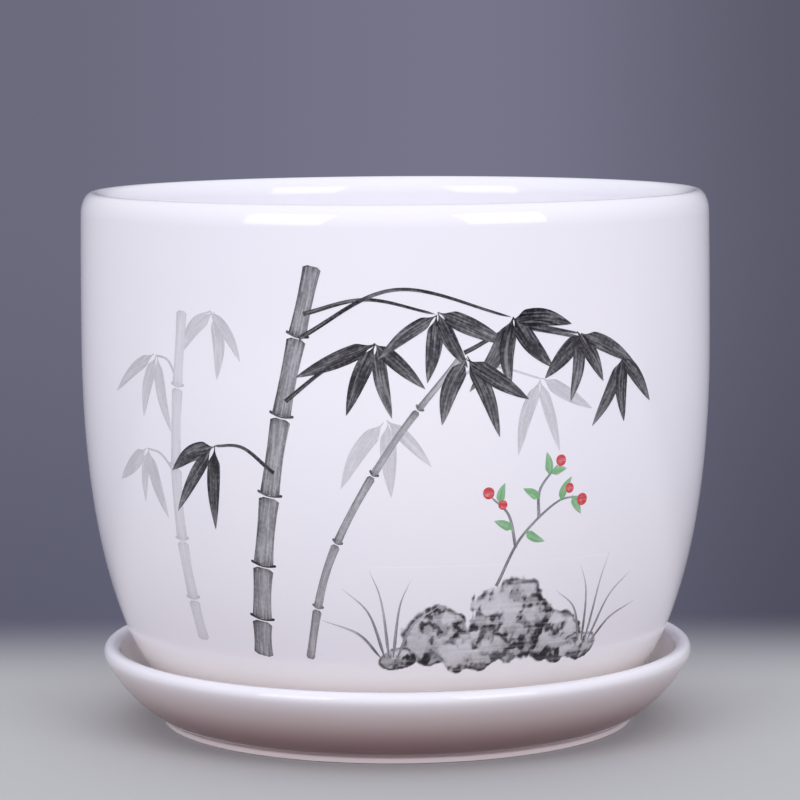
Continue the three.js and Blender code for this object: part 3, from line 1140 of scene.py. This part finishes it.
BACKDROP_FAR = (0.181, 0.179, 0.254, 1)
BACKDROP_NEAR = (0.127, 0.127, 0.190, 1)
BACKDROP_NEARNESS = (0.3, 1.4)  # one over the distance in metres, where it is far and near
BACKDROP_PEAK = 0.022  # slope of the line of sight to the backdrop's brightest part, + to the right
BACKDROP_LEFT = (-0.12, 0.81)  # slope at the backdrop's left side, and its share of the brightness
BACKDROP_RIGHT = (0.137, 0.55)
FILL_HORIZON = (1.00, 1.00, 1.02, 1)
FILL_MIDDLE = (0.84, 0.84, 0.85, 1)
FILL_ZENITH = (0.72, 0.72, 0.74, 1)
FILL_BEHIND = (1.25, 1.25, 1.27, 1)
MIDDLE_HEIGHTS = (0.0, 0.22)  # where the fill goes from the horizon's colour to the middle one
ZENITH_HEIGHTS = (0.30, 0.95)
BEHIND_DEPTHS = (0.4, 0.9)
BEHIND_HEIGHTS = (0.1, 0.4)
STUDIO_SIDES = (0.45, 0.45, 0.48, 1)  # what a mirror surface shows beside and above the backdrop
MIRRORED_DEPTHS = (0.84, 0.97)  # where it goes over into the backdrop, going back
MIRRORED_HEIGHTS = (0.05, 0.5)  # and out of it again, going up
FLOOR_RADIUS = 4000
FLOOR_CORNERS = 96
FLOOR_SEEN = (0.50, 0.50, 0.53, 1)
FLOOR_BOUNCE_NEAR = (0.110, 0.032, 0.034, 1)
FLOOR_BOUNCE_FAR = (0.48, 0.46, 0.48, 1)
BOUNCE_REACH = (88, 122)  # from the axis: the bounce goes from near to far
FADE_BEHIND = (30, 130)  # behind the axis: the floor goes over into the backdrop
FADE_AWAY = (600, 1800)  # and so it does far out on every side


def seen_rays(tree):
    """1 for rays from the camera, a mirror surface or glass, 0 for rays that carry light."""
    path = new_node(tree, "ShaderNodeLightPath")
    first = combined(tree, "MAXIMUM", path.outputs["Is Camera Ray"], path.outputs["Is Glossy Ray"])
    return combined(tree, "MAXIMUM", first, path.outputs["Is Transmission Ray"])


def backdrop_colour(tree, slope, nearness):
    """The plain backdrop, a little brighter high up and just right of its middle."""
    near = remapped(tree, nearness, *BACKDROP_NEARNESS)
    plain = blend_colours(tree, near, BACKDROP_FAR, BACKDROP_NEAR)
    left_end, left_share = BACKDROP_LEFT
    right_end, right_share = BACKDROP_RIGHT
    left = remapped(tree, slope, left_end, BACKDROP_PEAK, left_share, 1.0)
    right = remapped(tree, slope, BACKDROP_PEAK, right_end, 1.0, right_share)
    share = combined(tree, "MULTIPLY", left, right)
    return vector_math(tree, "SCALE", {0: plain, "Scale": share})["Vector"]


def fill_colour(tree, depth, height):
    """The light from all round: brightest from a little up behind, and weakest from overhead."""
    above = remapped(tree, height, *MIDDLE_HEIGHTS)
    lower = blend_colours(tree, above, FILL_HORIZON, FILL_MIDDLE)
    overhead = remapped(tree, height, *ZENITH_HEIGHTS)
    upper = blend_colours(tree, overhead, lower, FILL_ZENITH)
    back = remapped(tree, depth, *BEHIND_DEPTHS)
    risen = remapped(tree, height, *BEHIND_HEIGHTS)
    return blend_colours(tree, combined(tree, "MULTIPLY", back, risen), upper, FILL_BEHIND)


def make_world():
    """Rays that carry light meet the fill, and the camera sees the plain backdrop.

    A mirror surface shows the backdrop straight behind and low down, and elsewhere the sides.
    """
    world = bpy.data.worlds.new("studio")
    world.use_nodes = True
    tree = world.node_tree
    tree.nodes.clear()
    direction = new_node(tree, "ShaderNodeTexCoord").outputs["Generated"]
    parts = parts_of(tree, direction)
    depth, height = parts["Y"], parts["Z"]
    plain = backdrop_colour(tree, parts["X"], 0.0)
    opposite = remapped(tree, depth, *MIRRORED_DEPTHS)
    low_down = remapped(tree, height, *MIRRORED_HEIGHTS, 1.0, 0.0)
    mirrored = blend_colours(
        tree, combined(tree, "MAXIMUM", opposite, low_down), STUDIO_SIDES, plain
    )
    glossy = new_node(tree, "ShaderNodeLightPath").outputs["Is Glossy Ray"]
    shown = blend_colours(tree, glossy, plain, mirrored)
    colour = blend_colours(tree, seen_rays(tree), fill_colour(tree, depth, height), shown)
    light = new_node(tree, "ShaderNodeBackground", {"Color": colour, "Strength": 1.0})
    output = new_node(tree, "ShaderNodeOutputWorld")
    tree.links.new(light.outputs[0], output.inputs["Surface"])
    bpy.context.scene.world = world


def floor_backdrop(tree, place):
    """The backdrop's colour, laid on the floor as a fan from below the photograph's viewpoint."""
    to_axis = (0, CAMERA_DISTANCE / MM, 0)
    from_front = vector_math(tree, "ADD", {0: place, 1: to_axis})["Vector"]
    reach = vector_math(tree, "LENGTH", {0: from_front})["Value"]
    nearness = combined(tree, "DIVIDE", 1.0, reach)
    slope = combined(tree, "DIVIDE", parts_of(tree, place)["X"], reach)
    return backdrop_colour(tree, slope, nearness)


def floor_material():
    """A pale matt floor that takes the backdrop's colour behind the pot and far out.

    The light that it throws back on the pot and saucer is dark and warm next to the foot.
    """
    material, tree = new_material("studio_floor")
    place = object_place(tree)
    distance = vector_math(tree, "LENGTH", {0: place})["Value"]
    seen = seen_rays(tree)
    far = past(tree, distance, *BOUNCE_REACH)
    bounce = blend_colours(tree, far, FLOOR_BOUNCE_NEAR, FLOOR_BOUNCE_FAR)
    colour = blend_colours(tree, seen, bounce, FLOOR_SEEN)
    matt = new_node(tree, "ShaderNodeBsdfDiffuse", {"Color": colour})
    backdrop = floor_backdrop(tree, place)
    glow = new_node(tree, "ShaderNodeEmission", {"Color": backdrop, "Strength": 1.0})
    behind = past(tree, parts_of(tree, place)["Y"], *FADE_BEHIND)
    away = combined(tree, "MAXIMUM", behind, past(tree, distance, *FADE_AWAY))
    mixed = new_node(tree, "ShaderNodeMixShader", {0: combined(tree, "MULTIPLY", away, seen)})
    tree.links.new(matt.outputs[0], mixed.inputs[1])
    tree.links.new(glow.outputs[0], mixed.inputs[2])
    shaded(tree, mixed.outputs[0])
    return material


def make_floor():
    angles = np.arange(FLOOR_CORNERS) * 2 * math.pi / FLOOR_CORNERS
    radius = FLOOR_RADIUS / MM
    ring = np.column_stack(
        [radius * np.cos(angles), radius * np.sin(angles), np.zeros(FLOOR_CORNERS)]
    )
    mesh = bpy.data.meshes.new("floor")
    mesh.from_pydata(ring.tolist(), [], [list(range(FLOOR_CORNERS))])
    floor = added("floor", mesh, floor_material())


def make_stage():
    make_floor()
    make_world()
    softbox("left_softbox", -SOFTBOX_AZIMUTH, LEFT_RADIANCE)
    softbox("right_softbox", SOFTBOX_AZIMUTH, RIGHT_RADIANCE)


# Pieces that take the place of the CAD nodes


def make_pot():
    profile = pot_profile()
    crest = int(np.argmax(profile[:, 1]))
    drain = int(np.argmin(profile[:, 0]))
    # share of the painted light inside the pot, below the lip
    inside = eased(POT_HEIGHT - profile[:, 1], *INSIDE_DEPTHS)
    inside[:crest] = 0
    inside[drain:] = 0
    mesh = turned_mesh("glazed_pot", profile, inside, POT_BASE, closed=True, notched=True)
    glaze = glaze_material("pot_glaze", POT_BASE, POT_PAINTED_LIGHT, INSIDE_PAINTED_LIGHT)
    piece = added("glazed_pot", mesh, glaze)
    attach(piece, "pot")
    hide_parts("pot")


def make_saucer():
    profile = saucer_profile()
    crest = int(np.argmax(profile[:, 1]))
    # share of the painted shade in the saucer's basin, below the rim
    basin = eased(SAUCER_HEIGHT - profile[:, 1], *BASIN_DEPTHS)
    basin[:crest] = 0
    mesh = turned_mesh("glazed_saucer", profile, basin, 0, closed=False, notched=False)
    glaze = glaze_material("saucer_glaze", 0, SAUCER_PAINTED_SHADING, BASIN_PAINTED_SHADE)
    piece = added("glazed_saucer", mesh, glaze)
    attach(piece, "saucer")
    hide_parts("saucer")


make_camera()
make_stage()
make_saucer()
make_pot()
make_decoration()

bpy.context.scene.view_settings.view_transform = "Standard"
